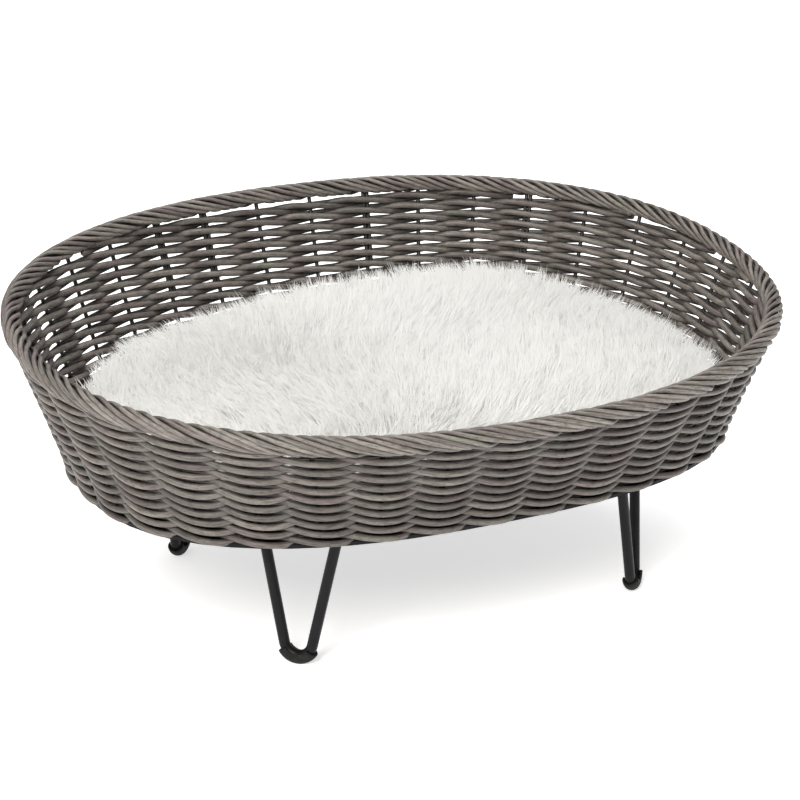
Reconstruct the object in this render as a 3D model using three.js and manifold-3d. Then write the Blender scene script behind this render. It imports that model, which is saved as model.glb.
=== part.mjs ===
// Raised oval pet bed: a twined cane basket on a thin board, four hairpin legs and a loose cushion.
// Lengths are millimetres and angles degrees. +Z is up, +X runs along the bed, -Y is its low front.
// The origin is on the floor, under the middle of the bed.
import * as THREE from 'three';
import { mergeVertices } from 'three/addons/utils/BufferGeometryUtils.js';
import Module from 'manifold-3d';

const wasm = await Module();
wasm.setup();

// Basket outline
const rimLength = 586;
const rimWidth = 430;
const rimSquarenessShare = 0.09;
const rimFrontHeight = 197;
const rimBackHeight = 260;
const baseLength = 508;
const baseWidth = 352;
const baseSquarenessShare = 0.194;

// Board
const boardThickness = 4.5;
const boardChamfer = 2;
const boardPoints = 68;

// Stakes and rolled rim
const stakeCount = 34;
const stakeSide = 3.2;
const stakeInset = 5;
const pegDepth = 3;
const rimThickness = 15.2;
const rimHeight = 15;
const rimSides = 8;

// Weavers
const firstRowHeight = 4.5;
const rowPitchFront = 7.85;
const rowPitchBack = 8.62;
const caneDepth = 4.4;
const caneHeight = 3.6;

// Hairpin legs
const legHeight = 107;
const footInsetEnd = 112.5;
const footInsetSide = 65;
const plateTurn = 47.5;
const legSplay = 4;
const rodDiameter = 8;
const rodSides = 8;
const rodSpread = 61;
const bendRadius = 11;
const bendSteps = 8;
const plateLength = 84;
const plateWidth = 30;
const plateThickness = 2.5;
const plateCorner = 5;
const weldDepth = 0.5;

// Rubber feet
const footWall = 2;
const footWrap = 220;
const footArcSteps = 5;
const footBendSteps = 6;
const footFlat = 0.5;

// Screws and nuts
const screwSpacing = 28;
const screwDiameter = 5;
const screwHeadDiameter = 9.2;
const screwHeadHeight = 2.6;
const screwHeadRim = 0.4;
const screwLength = 13;
const screwSides = 8;
const nutAcrossFlats = 8;
const nutHeight = 4;

// Cushion
const cushionHeight = 70;
const cushionWidestShare = 0.76;
const cushionSquarenessShare = 0.14;
const cushionClearance = 4;
const cushionPoints = 44;
const cushionLevelShares = [
  { height: 0, inset: 0.25 },
  { height: 0.06, inset: 0.18 },
  { height: 0.2, inset: 0.125 },
  { height: 0.45, inset: 0.06 },
  { height: cushionWidestShare, inset: 0 },
  { height: 0.86, inset: 0.014 },
  { height: 0.92, inset: 0.045 },
  { height: 0.958, inset: 0.1 },
  { height: 0.98, inset: 0.2 },
  { height: 0.993, inset: 0.4 },
  { height: 1, inset: 0.66 },
];

// Fits
const gap = 0.3;
const cutOverrun = 1;

// Derived places
const boardTop = legHeight + boardThickness;
const halfTurn = Math.PI;
const fullTurn = 2 * Math.PI;
const wholeTurnDegrees = 360;
const spanSamples = 2 * stakeCount;
const caneRise = (caneHeight + gap) / 2;

const materials = {
  cane: { color: 0x8f877c, roughness: 0.62, metalness: 0 },
  rim: { color: 0x8a8176, roughness: 0.6, metalness: 0 },
  board: { color: 0x1d1c1d, roughness: 0.5, metalness: 0 },
  steel: { color: 0x232225, roughness: 0.42, metalness: 0.3 },
  rubber: { color: 0x151516, roughness: 0.85, metalness: 0 },
  zinc: { color: 0xb4b6ba, roughness: 0.35, metalness: 0.9 },
  plush: { color: 0xf1f2ef, roughness: 0.95, metalness: 0 },
};

function radians(degrees) {
  return (degrees * fullTurn) / wholeTurnDegrees;
}

// A place on an oval, found by its share of the way round from +X. Squareness 0 makes an ellipse.
function makeOval(length, width, squarenessShare) {
  const fineSteps = 1440;
  const points = [];
  const travelled = [0];
  for (let i = 0; i <= fineSteps; i += 1) {
    const angle = (fullTurn * i) / fineSteps;
    const along = Math.cos(angle);
    const across = Math.sin(angle);
    const x = (length / 2) * Math.sign(along) * Math.abs(along) ** (1 - squarenessShare);
    const y = (width / 2) * Math.sign(across) * Math.abs(across) ** (1 - squarenessShare);
    points.push(new THREE.Vector2(x, y));
    if (i > 0) travelled.push(travelled[i - 1] + points[i].distanceTo(points[i - 1]));
  }
  return function placeAt(share) {
    const goal = (share - Math.floor(share)) * travelled[fineSteps];
    const next = Math.max(1, travelled.findIndex((distance) => distance >= goal));
    const part = (goal - travelled[next - 1]) / (travelled[next] - travelled[next - 1]);
    return points[next - 1].clone().lerp(points[next], part);
  };
}

const footOvalLength = baseLength - 2 * stakeInset;
const footOvalWidth = baseWidth - 2 * stakeInset;
const stakeFootOval = makeOval(footOvalLength, footOvalWidth, baseSquarenessShare);
const rimOval = makeOval(rimLength, rimWidth, rimSquarenessShare);

// A cane runs straight from stake to stake, so its offset is a little more than it is beside the stake.
const stakeSpacing = stakeFootOval(0).distanceTo(stakeFootOval(1 / stakeCount));
const caneOffset = (caneDepth / 2 + gap + stakeSide / 2) / (1 - stakeSide / stakeSpacing);

// The rim dips towards the front, so its middle height follows y.
function rimMiddle(share) {
  const place = rimOval(share);
  const side = (1 + place.y / (rimWidth / 2)) / 2;
  const top = THREE.MathUtils.lerp(rimFrontHeight, rimBackHeight, side);
  return new THREE.Vector3(place.x, place.y, top - rimHeight / 2);
}

function stakeFoot(share) {
  const place = stakeFootOval(share);
  return new THREE.Vector3(place.x, place.y, boardTop);
}

// The wall's own directions at one share of the way round: along it, up it and out of it.
function wallFrame(share) {
  const foot = stakeFoot(share);
  const top = rimMiddle(share);
  const up = top.clone().sub(foot);
  const length = up.length();
  up.normalize();
  const step = 1 / (4 * spanSamples);
  const ahead = stakeFoot(share + step).add(rimMiddle(share + step));
  const behind = stakeFoot(share - step).add(rimMiddle(share - step));
  const along = ahead.sub(behind).normalize();
  const out = along.clone().cross(up).normalize();
  const side = (1 + foot.y / (footOvalWidth / 2)) / 2;
  return { foot, up, out, length, side };
}

const wallFrames = [];
for (let i = 0; i < spanSamples; i += 1) wallFrames.push(wallFrame(i / spanSamples));

function wallPoint(frame, height, outward) {
  return frame.foot.clone().addScaledVector(frame.up, height).addScaledVector(frame.out, outward);
}

// A closed surface through rings of points, turned so that its faces point out.
function surfaceThrough(rings, closed) {
  const sides = rings[0].length;
  const positions = [];
  const faces = [];
  for (const ring of rings) {
    for (const point of ring) positions.push(point.x, point.y, point.z);
  }
  const lastRing = closed ? rings.length : rings.length - 1;
  for (let i = 0; i < lastRing; i += 1) {
    const here = i * sides;
    const next = ((i + 1) % rings.length) * sides;
    for (let j = 0; j < sides; j += 1) {
      const k = (j + 1) % sides;
      faces.push([here + j, here + k, next + k]);
      faces.push([here + j, next + k, next + j]);
    }
  }
  if (!closed) {
    for (const [start, turned] of [[0, true], [(rings.length - 1) * sides, false]]) {
      for (const [a, b, c] of capFaces(rings[start / sides])) {
        faces.push(turned ? [start + a, start + c, start + b] : [start + a, start + b, start + c]);
      }
    }
  }
  return outwardGeometry(positions, faces);
}

// Triangles over a flat ring, which may be hollow on one side.
function capFaces(ring) {
  const middle = ring.reduce((sum, point) => sum.add(point), new THREE.Vector3());
  middle.divideScalar(ring.length);
  const normal = new THREE.Vector3();
  for (let i = 0; i < ring.length; i += 1) {
    const a = ring[i].clone().sub(middle);
    const b = ring[(i + 1) % ring.length].clone().sub(middle);
    normal.add(a.cross(b));
  }
  normal.normalize();
  const across = ring[1].clone().sub(ring[0]).normalize();
  const upward = normal.clone().cross(across);
  const flat = ring.map((point) => {
    const offset = point.clone().sub(middle);
    return new THREE.Vector2(offset.dot(across), offset.dot(upward));
  });
  return THREE.ShapeUtils.triangulateShape(flat, []);
}

function outwardGeometry(positions, faces) {
  const corner = (index) => new THREE.Vector3().fromArray(positions, 3 * index);
  let volume = 0;
  for (const [a, b, c] of faces) volume += corner(a).dot(corner(b).cross(corner(c)));
  const indices = faces.flatMap(([a, b, c]) => (volume > 0 ? [a, b, c] : [a, c, b]));
  const geometry = new THREE.BufferGeometry();
  geometry.setAttribute('position', new THREE.Float32BufferAttribute(positions, 3));
  geometry.setIndex(indices);
  return geometry;
}

function solidOf(geometry) {
  const bare = geometry.clone();
  bare.deleteAttribute('normal');
  bare.deleteAttribute('uv');
  const merged = mergeVertices(bare);
  const vertProperties = new Float32Array(merged.attributes.position.array);
  const triVerts = new Uint32Array(merged.index.array);
  return new wasm.Manifold(new wasm.Mesh({ numProp: 3, vertProperties, triVerts }));
}

function geometryOf(solid) {
  const mesh = solid.getMesh();
  const geometry = new THREE.BufferGeometry();
  geometry.setAttribute('position', new THREE.Float32BufferAttribute(mesh.vertProperties, 3));
  geometry.setIndex(Array.from(mesh.triVerts));
  return geometry;
}

function namedMesh(name, geometry, finish) {
  geometry.computeVertexNormals();
  const mesh = new THREE.Mesh(geometry, new THREE.MeshStandardMaterial(materials[finish]));
  mesh.name = name;
  return mesh;
}

function twoDigits(number) {
  return String(number).padStart(2, '0');
}

// Weavers: each row is a pair of canes that pass either side of every stake and cross between stakes.
function rowHeight(row, frame) {
  const pitch = THREE.MathUtils.lerp(rowPitchFront, rowPitchBack, frame.side);
  return firstRowHeight + row * pitch;
}

function rowFits(row, frame) {
  const top = rowHeight(row, frame) + caneRise + caneHeight / 2 + gap;
  return top <= frame.length - rimHeight / 2;
}

function caneMiddle(row, cane, sample) {
  const frame = wallFrames[sample];
  const stake = Math.floor(sample / 2);
  const startsOutside = (stake + cane) % 2 === 0;
  if (sample % 2 === 0) {
    return wallPoint(frame, rowHeight(row, frame), startsOutside ? caneOffset : -caneOffset);
  }
  return wallPoint(frame, rowHeight(row, frame) + (startsOutside ? -caneRise : caneRise), 0);
}

function caneRing(row, cane, sample) {
  const frame = wallFrames[sample];
  const middle = caneMiddle(row, cane, sample);
  return [
    middle.clone().addScaledVector(frame.out, caneDepth / 2),
    middle.clone().addScaledVector(frame.up, caneHeight / 2),
    middle.clone().addScaledVector(frame.out, -caneDepth / 2),
    middle.clone().addScaledVector(frame.up, -caneHeight / 2),
  ];
}

// The samples that a row passes under the rim: all of them, or a run round the raised back
// that starts and ends at a stake.
function rowSamples(row) {
  const samples = [];
  const start = Math.round(-spanSamples / 4);
  for (let i = start; i < start + spanSamples; i += 1) {
    const sample = (i + spanSamples) % spanSamples;
    if (rowFits(row, wallFrames[sample])) samples.push(sample);
  }
  if (samples.length === spanSamples) return samples;
  if (samples[0] % 2 === 1) samples.shift();
  if (samples[samples.length - 1] % 2 === 1) samples.pop();
  return samples;
}

function addWeavers(group) {
  let row = 0;
  let samples = rowSamples(row);
  while (samples.length > spanSamples / stakeCount) {
    const closed = samples.length === spanSamples;
    const label = closed ? 'weaver' : 'back_weaver';
    for (const cane of [0, 1]) {
      const rings = samples.map((sample) => caneRing(row, cane, sample));
      const name = `${label}_${twoDigits(row + 1)}_${cane === 0 ? 'a' : 'b'}`;
      group.add(namedMesh(name, surfaceThrough(rings, closed), 'cane'));
    }
    row += 1;
    samples = rowSamples(row);
  }
}

// Stakes stand in blind holes in the board, and their upper ends are rolled into the rim.
function stakePrism(frame, side, low, high) {
  const across = frame.up.clone().cross(frame.out);
  const rings = [low, high].map((height) => {
    const middle = wallPoint(frame, height, 0);
    return [[1, 1], [-1, 1], [-1, -1], [1, -1]].map(([x, y]) => middle.clone()
      .addScaledVector(frame.out, (x * side) / 2)
      .addScaledVector(across, (y * side) / 2));
  });
  return surfaceThrough(rings, false);
}

function stakesAndRim() {
  const flatShare = Math.cos(halfTurn / rimSides);
  const rings = wallFrames.map((frame) => {
    const middle = wallPoint(frame, frame.length, 0);
    const ring = [];
    for (let i = 0; i < rimSides; i += 1) {
      const angle = (fullTurn * (i + 1 / 2)) / rimSides;
      ring.push(middle.clone()
        .addScaledVector(frame.out, (rimThickness / 2) * (Math.cos(angle) / flatShare))
        .addScaledVector(frame.up, (rimHeight / 2) * (Math.sin(angle) / flatShare)));
    }
    return ring;
  });
  let solid = solidOf(surfaceThrough(rings, true));
  for (let stake = 0; stake < stakeCount; stake += 1) {
    const frame = wallFrames[2 * stake];
    solid = solid.add(solidOf(stakePrism(frame, stakeSide, -pegDepth, frame.length)));
  }
  return geometryOf(solid);
}

// Legs are placed from where their feet stand, and lean outward from their plates.
function legPlaces() {
  const lean = legHeight * Math.tan(radians(legSplay));
  const turn = radians(plateTurn);
  const places = [];
  for (const [name, sideX, sideY] of [
    ['front_left', -1, -1],
    ['front_right', 1, -1],
    ['back_left', -1, 1],
    ['back_right', 1, 1],
  ]) {
    const outX = sideX * Math.sin(turn);
    const outY = sideY * Math.cos(turn);
    places.push({
      name,
      x: sideX * (baseLength / 2 - footInsetEnd) - outX * lean,
      y: sideY * (baseWidth / 2 - footInsetSide) - outY * lean,
      turn: Math.atan2(outY, outX) - halfTurn / 2,
    });
  }
  return places;
}

// A place in the leg's own leaning plane: across it, and down it from the underside of the board.
function legPoint(across, down) {
  const splay = radians(legSplay);
  return new THREE.Vector3(across, down * Math.sin(splay), -down * Math.cos(splay));
}

const legNormal = new THREE.Vector3(0, Math.cos(radians(legSplay)), Math.sin(radians(legSplay)));
const bendBottom = (legHeight - footWall - gap - rodDiameter / 2 + footFlat) / Math.cos(radians(legSplay));
const bendCentre = bendBottom - bendRadius;
const rodReach = Math.hypot(rodSpread / 2, bendCentre);
const rodLean = Math.acos(bendRadius / rodReach) - Math.atan2(bendCentre, rodSpread / 2);
const bendHalfAngle = halfTurn / 2 - rodLean;
const bendStep = (2 * bendHalfAngle) / bendSteps;

// The rod's section at one angle round the bend, measured from its lowest point.
function bendFrame(angle) {
  const outward = legPoint(Math.sin(angle), Math.cos(angle));
  const middle = legPoint(0, bendCentre).addScaledVector(outward, bendRadius);
  return { middle, outward };
}

function ringAround(middle, outward, radius, sides) {
  const ring = [];
  for (let i = 0; i < sides; i += 1) {
    const angle = (fullTurn * (i + 1 / 2)) / sides;
    ring.push(middle.clone()
      .addScaledVector(outward, radius * Math.cos(angle))
      .addScaledVector(legNormal, radius * Math.sin(angle)));
  }
  return ring;
}

function hairpinRod() {
  const rings = [];
  const start = bendFrame(-bendHalfAngle);
  const end = bendFrame(bendHalfAngle);
  const topDown = plateThickness + gap - weldDepth;
  const topLeft = legPoint(-rodSpread / 2 + topDown * Math.tan(rodLean), topDown);
  const topRight = legPoint(rodSpread / 2 - topDown * Math.tan(rodLean), topDown);
  rings.push(ringAround(topLeft, start.outward, rodDiameter / 2, rodSides));
  for (let i = 0; i <= bendSteps; i += 1) {
    const { middle, outward } = bendFrame(-bendHalfAngle + i * bendStep);
    rings.push(ringAround(middle, outward, rodDiameter / 2, rodSides));
  }
  rings.push(ringAround(topRight, end.outward, rodDiameter / 2, rodSides));
  return surfaceThrough(rings, false);
}

// Corners of a regular polygon whose middle is shifted along X.
function polygonCorners(radius, sides, shift) {
  const corners = [];
  for (let i = 0; i < sides; i += 1) {
    const angle = (fullTurn * i) / sides;
    corners.push(new THREE.Vector2(shift + radius * Math.cos(angle), radius * Math.sin(angle)));
  }
  return corners;
}

function roundedPlate() {
  const shape = new THREE.Shape();
  const halfLength = plateLength / 2;
  const halfWidth = plateWidth / 2;
  for (const [sideX, sideY, start] of [[1, 1, 0], [-1, 1, 1], [-1, -1, 2], [1, -1, 3]]) {
    const centreX = sideX * (halfLength - plateCorner);
    const centreY = sideY * (halfWidth - plateCorner);
    const from = (start * halfTurn) / 2;
    shape.absarc(centreX, centreY, plateCorner, from, from + halfTurn / 2, false);
  }
  for (const side of [-1, 1]) {
    const corners = polygonCorners(screwDiameter / 2 + gap, screwSides, (side * screwSpacing) / 2);
    shape.holes.push(new THREE.Path(corners));
  }
  const depth = plateThickness;
  const plate = new THREE.ExtrudeGeometry(shape, { depth, bevelEnabled: false, curveSegments: 2 });
  plate.translate(0, 0, -plateThickness - gap);
  return plate;
}

function legGeometry() {
  return geometryOf(solidOf(roundedPlate()).add(solidOf(hairpinRod())));
}

// A rubber saddle round the underside of the bend, cut flat where it stands on the floor.
function footGeometry() {
  const wrapStep = radians(footWrap) / footArcSteps;
  const inner = (rodDiameter / 2 + gap) / Math.cos(wrapStep / 2);
  const outer = inner + footWall;
  const rings = [];
  for (let i = 0; i <= footBendSteps; i += 1) {
    const { middle, outward } = bendFrame((i - footBendSteps / 2) * bendStep);
    const ring = [];
    for (const radius of [outer, inner]) {
      for (let j = 0; j <= footArcSteps; j += 1) {
        const step = radius === outer ? j : footArcSteps - j;
        const angle = (step - footArcSteps / 2) * wrapStep;
        ring.push(middle.clone()
          .addScaledVector(outward, radius * Math.cos(angle))
          .addScaledVector(legNormal, radius * Math.sin(angle)));
      }
    }
    rings.push(ring);
  }
  const saddle = solidOf(surfaceThrough(rings, false));
  const floorSize = 4 * (bendRadius + outer);
  const floor = new THREE.BoxGeometry(floorSize, floorSize, floorSize);
  floor.translate(0, legHeight * Math.tan(radians(legSplay)), -legHeight - floorSize / 2);
  return geometryOf(saddle.subtract(solidOf(floor)));
}

// A countersunk screw, or with clearance the hole that it leaves in the board.
function screwGeometry(clearance, top, bottom) {
  const head = screwHeadDiameter / 2 + clearance;
  const shank = screwDiameter / 2 + clearance;
  const profile = [
    new THREE.Vector2(0, bottom),
    new THREE.Vector2(shank, bottom),
    new THREE.Vector2(shank, -screwHeadHeight - clearance),
    new THREE.Vector2(head, -screwHeadRim - clearance),
    new THREE.Vector2(head, top),
    new THREE.Vector2(0, top),
  ];
  const screw = new THREE.LatheGeometry(profile, screwSides);
  screw.rotateX(halfTurn / 2);
  return screw;
}

function nutGeometry() {
  const hexSides = 6;
  const cornerShare = Math.cos(halfTurn / hexSides);
  const shape = new THREE.Shape(polygonCorners(nutAcrossFlats / 2 / cornerShare, hexSides, 0));
  const boreCorners = polygonCorners((screwDiameter / 2 + gap) / cornerShare, hexSides, 0);
  shape.holes.push(new THREE.Path(boreCorners));
  const nut = new THREE.ExtrudeGeometry(shape, { depth: nutHeight, bevelEnabled: false });
  nut.translate(0, 0, -plateThickness - 2 * gap - nutHeight);
  return nut;
}

// The board's upper edge is chamfered, because the lowest row of canes lies over it.
function boardGeometry() {
  const lower = makeOval(baseLength, baseWidth, baseSquarenessShare);
  const upperLength = baseLength - 2 * boardChamfer;
  const upperWidth = baseWidth - 2 * boardChamfer;
  const upper = makeOval(upperLength, upperWidth, baseSquarenessShare);
  const rings = [
    [lower, legHeight],
    [lower, boardTop - boardChamfer],
    [upper, boardTop],
  ].map(([oval, height]) => {
    const ring = [];
    for (let i = 0; i < boardPoints; i += 1) {
      const place = oval(i / boardPoints);
      ring.push(new THREE.Vector3(place.x, place.y, height));
    }
    return ring;
  });
  let solid = solidOf(surfaceThrough(rings, false));
  for (let stake = 0; stake < stakeCount; stake += 1) {
    const frame = wallFrames[2 * stake];
    const hole = stakePrism(frame, stakeSide + 2 * gap, -pegDepth - gap, stakeSide);
    solid = solid.subtract(solidOf(hole));
  }
  for (const place of legPlaces()) {
    for (const side of [-1, 1]) {
      const hole = screwGeometry(gap, cutOverrun, -boardThickness - cutOverrun);
      hole.translate((side * screwSpacing) / 2, 0, 0);
      hole.rotateZ(place.turn);
      hole.translate(place.x, place.y, boardTop);
      solid = solid.subtract(solidOf(hole));
    }
  }
  return geometryOf(solid);
}

function addLegs(group) {
  for (const place of legPlaces()) {
    const leg = new THREE.Group();
    leg.position.set(place.x, place.y, legHeight);
    leg.rotation.z = place.turn;
    leg.add(namedMesh(`${place.name}_leg`, legGeometry(), 'steel'));
    leg.add(namedMesh(`${place.name}_foot`, footGeometry(), 'rubber'));
    for (const [label, side] of [['a', -1], ['b', 1]]) {
      const screw = namedMesh(`${place.name}_screw_${label}`, screwGeometry(0, 0, -screwLength), 'zinc');
      screw.position.set((side * screwSpacing) / 2, 0, boardThickness);
      leg.add(screw);
      const nut = namedMesh(`${place.name}_nut_${label}`, nutGeometry(), 'zinc');
      nut.position.set((side * screwSpacing) / 2, 0, 0);
      leg.add(nut);
    }
    group.add(leg);
  }
}

// Where the wall leaves room for the cushion, at one share of the way round.
function cushionReach(share) {
  const frame = wallFrame(share);
  const height = (gap + cushionWidestShare * cushionHeight) / frame.up.z;
  return wallPoint(frame, height, -caneOffset - caneDepth / 2 - cushionClearance);
}

// The cushion fills the basket at its widest level, is crowned above it and drawn in below it.
function cushionGeometry() {
  const end = cushionReach(0);
  const back = cushionReach(1 / 4);
  const front = cushionReach(3 / 4);
  const width = back.y - front.y;
  const rings = cushionLevelShares.map(({ height, inset }) => {
    const drawIn = inset * width;
    const oval = makeOval(2 * end.x - drawIn, width - drawIn, cushionSquarenessShare);
    const ring = [];
    for (let i = 0; i < cushionPoints; i += 1) {
      const place = oval(i / cushionPoints);
      const level = boardTop + gap + height * cushionHeight;
      ring.push(new THREE.Vector3(place.x, place.y + (front.y + back.y) / 2, level));
    }
    return ring;
  });
  return surfaceThrough(rings, false);
}

const bed = new THREE.Group();
bed.add(namedMesh('base_board', boardGeometry(), 'board'));
bed.add(namedMesh('stakes_and_rim', stakesAndRim(), 'rim'));
addWeavers(bed);
addLegs(bed);
bed.add(namedMesh('cushion', cushionGeometry(), 'plush'));

export default bed;
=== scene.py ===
"""Looks of a raised oval pet bed: twined cane basket, hairpin legs and a long-pile cushion."""

import math
import random

import bpy
import numpy as np
from bpy.props import FloatProperty, FloatVectorProperty, IntProperty, PointerProperty
from mathutils import Matrix, Vector


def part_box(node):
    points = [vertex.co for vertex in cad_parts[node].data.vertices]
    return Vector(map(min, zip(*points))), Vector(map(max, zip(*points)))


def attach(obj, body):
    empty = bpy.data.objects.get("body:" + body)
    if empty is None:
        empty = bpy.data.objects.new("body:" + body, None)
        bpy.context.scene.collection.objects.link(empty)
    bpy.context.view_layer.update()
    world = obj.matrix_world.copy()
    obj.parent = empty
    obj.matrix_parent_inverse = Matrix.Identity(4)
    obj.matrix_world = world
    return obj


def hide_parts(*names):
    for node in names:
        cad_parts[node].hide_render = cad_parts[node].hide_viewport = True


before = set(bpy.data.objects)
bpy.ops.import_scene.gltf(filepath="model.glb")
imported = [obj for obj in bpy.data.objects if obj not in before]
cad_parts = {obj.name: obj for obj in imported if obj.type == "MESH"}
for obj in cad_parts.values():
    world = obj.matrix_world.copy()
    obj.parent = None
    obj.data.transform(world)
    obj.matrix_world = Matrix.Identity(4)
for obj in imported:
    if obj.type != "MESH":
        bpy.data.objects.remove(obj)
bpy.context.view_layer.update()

bl_info = {
    "name": "Raised Cane Pet Bed",
    "version": (1, 0, 0),
    "blender": (4, 5, 0),
    "location": "View3D > Sidebar > Pet Bed",
    "description": "Builds the cane basket, legs and plush cushion of a raised pet bed",
    "category": "Add Mesh",
}


# Sizes and colours


def length_prop(metres, name, description):
    return FloatProperty(name=name, description=description, default=metres, unit="LENGTH")


def angle_prop(degrees, name, description):
    return FloatProperty(
        name=name, description=description, default=math.radians(degrees), subtype="ANGLE")


def factor_prop(share, name, description):
    return FloatProperty(name=name, description=description, default=share, subtype="FACTOR")


def count_prop(number, name, description):
    return IntProperty(name=name, description=description, default=number)


def colour_prop(shade, name, description):
    return FloatVectorProperty(
        name=name, description=description, default=shade, subtype="COLOR", size=3)


class BasketSizes(bpy.types.PropertyGroup):
    rim_length: length_prop(
        0.586, "Rim length", "Length of the basket along the middle of its border")
    rim_width: length_prop(
        0.430, "Rim width", "Width of the basket along the middle of its border")
    rim_squareness: factor_prop(
        0.09, "Rim squareness", "How far the rim's oval leans towards a rectangle")
    front_height: length_prop(0.197, "Front height", "Height of the border's top at the low front")
    back_height: length_prop(0.260, "Back height", "Height of the border's top at the back")
    base_length: length_prop(0.508, "Base length", "Length of the board under the basket")
    base_width: length_prop(0.352, "Base width", "Width of the board under the basket")
    base_squareness: factor_prop(
        0.194, "Base squareness", "How far the board's oval leans towards a rectangle")
    board_top: length_prop(0.1115, "Board top", "Height of the board's upper face")
    stake_count: count_prop(34, "Stakes", "Number of upright canes round the wall")
    stake_thickness: length_prop(0.0034, "Stake thickness", "Thickness of an upright cane")
    stake_inset: length_prop(
        0.005, "Stake inset", "How far the stakes stand in from the board's edge")
    cane_thickness: length_prop(0.0048, "Cane thickness", "Thickness of a weaving cane")
    first_row: length_prop(0.0026, "First row", "Height of the lowest row over the board")
    front_pitch: length_prop(0.0083, "Front pitch", "Distance between rows at the front")
    back_pitch: length_prop(0.0088, "Back pitch", "Distance between rows at the back")
    weave_depth: length_prop(
        0.0037, "Weave depth", "How far a cane passes from the middle of a stake")
    weave_rise: length_prop(
        0.0021, "Weave rise", "How far a cane rises and falls where a pair crosses")
    border_cane_thickness: length_prop(
        0.0035, "Border cane thickness", "Thickness of a cane in the rolled border")
    canes_in_bundle: count_prop(
        4, "Canes in a bundle", "Canes that leave the border at each stake")
    border_thickness: length_prop(
        0.015, "Border thickness", "Thickness of the rolled border across the wall")
    border_height: length_prop(
        0.015, "Border height", "Height of the rolled border along the wall")
    border_lead: length_prop(
        0.102, "Border lead", "Length of border in which a cane goes round it once")


class LegSizes(bpy.types.PropertyGroup):
    height: length_prop(0.107, "Height", "Height of the board's underside over the floor")
    rod_thickness: length_prop(0.008, "Rod thickness", "Thickness of the bent steel rod")
    rod_spread: length_prop(0.061, "Rod spread", "Distance between the rod's ends under the board")
    bend_radius: length_prop(0.011, "Bend radius", "Radius of the bend at the foot")
    splay: angle_prop(4, "Splay", "How far each leg leans outward")
    turn: angle_prop(47.5, "Turn", "How far each leg is turned towards the ends of the bed")
    foot_end: length_prop(0.1125, "Foot from the end", "Distance of a foot from the board's end")
    foot_side: length_prop(0.065, "Foot from the side", "Distance of a foot from the board's side")
    plate_length: length_prop(0.084, "Plate length", "Length of the plate under the board")
    plate_width: length_prop(0.030, "Plate width", "Width of the plate under the board")
    plate_thickness: length_prop(
        0.0025, "Plate thickness", "Thickness of the plate under the board")
    screw_spacing: length_prop(
        0.028, "Screw spacing", "Distance between the two screws of a plate")


class CushionSizes(bpy.types.PropertyGroup):
    pile_length: length_prop(0.030, "Pile length", "Length of a lock of the plush")
    pile_depth: length_prop(
        0.014, "Pile depth", "How far the cover lies under the tips of the pile")
    lock_count: count_prop(6000, "Locks", "Number of locks of plush on the cushion")
    strands_in_lock: count_prop(8, "Strands in a lock", "Number of strands that share one tip")
    swell: length_prop(0.006, "Swell", "How far the filling may push the cover out")


class Finishes(bpy.types.PropertyGroup):
    cane: colour_prop((0.172, 0.156, 0.140), "Cane", "Main colour of the stained cane")
    cane_brown: colour_prop((0.140, 0.113, 0.109), "Brown cane", "Colour of the redder canes")
    cane_green: colour_prop((0.152, 0.148, 0.122), "Green cane", "Colour of the greener canes")
    cane_grain: colour_prop((0.042, 0.035, 0.031), "Grain", "Colour of the dark grain in the cane")
    paint: colour_prop((0.005, 0.005, 0.0055), "Board paint", "Colour of the board's paint")
    steel: colour_prop((0.007, 0.007, 0.0085), "Leg coating", "Colour of the coating on the legs")
    rubber: colour_prop((0.009, 0.009, 0.009), "Foot rubber", "Colour of the rubber feet")
    zinc: colour_prop((0.50, 0.50, 0.52), "Zinc", "Colour of the screws and nuts")
    plush: colour_prop((0.50, 0.50, 0.485), "Plush", "Colour of the plush")
    floor: colour_prop((0.90, 0.90, 0.90), "Floor", "Colour of the floor")


# Shared hands


def deselect():
    if bpy.context.object and bpy.context.object.mode != "OBJECT":
        bpy.ops.object.mode_set(mode="OBJECT")
    bpy.ops.object.select_all(action="DESELECT")


def pick(piece):
    deselect()
    piece.select_set(True)
    bpy.context.view_layer.objects.active = piece


def settle(piece, name):
    """Names a piece and puts its place into its mesh."""
    pick(piece)
    bpy.ops.object.transform_apply(location=True, rotation=True, scale=True)
    piece.name = name
    piece.data.name = name
    return piece


def edit_all(piece):
    pick(piece)
    bpy.ops.object.mode_set(mode="EDIT")
    bpy.ops.mesh.select_all(action="SELECT")


def merge_and_face_out(piece, distance=1e-6):
    edit_all(piece)
    bpy.ops.mesh.remove_doubles(threshold=distance)
    bpy.ops.mesh.normals_make_consistent(inside=False)
    bpy.ops.object.mode_set(mode="OBJECT")


def select_edges(piece, chosen):
    """Goes to edit mode with only those edges selected that the test picks by their two ends."""
    pick(piece)
    bpy.ops.object.mode_set(mode="EDIT")
    bpy.ops.mesh.select_mode(type="EDGE")
    bpy.ops.mesh.select_all(action="DESELECT")
    bpy.ops.object.mode_set(mode="OBJECT")
    for edge in piece.data.edges:
        edge.select = chosen(*(piece.data.vertices[index].co for index in edge.vertices))
    bpy.ops.object.mode_set(mode="EDIT")


def cut_out(piece, cutter):
    """Takes a cutter's shape out of a piece."""
    pick(piece)
    cut = piece.modifiers.new("cut", "BOOLEAN")
    cut.operation = "DIFFERENCE"
    cut.object = cutter
    bpy.ops.object.modifier_apply(modifier=cut.name)
    bpy.data.objects.remove(cutter)


def round_edges(piece, width, segments=2, sharp=math.radians(30)):
    """Rounds the edges of a piece that turn by more than the sharp angle."""
    pick(piece)
    edges = piece.modifiers.new("edges", "BEVEL")
    edges.width = width
    edges.segments = segments
    edges.limit_method = "ANGLE"
    edges.angle_limit = sharp
    bpy.ops.object.modifier_apply(modifier=edges.name)


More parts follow.
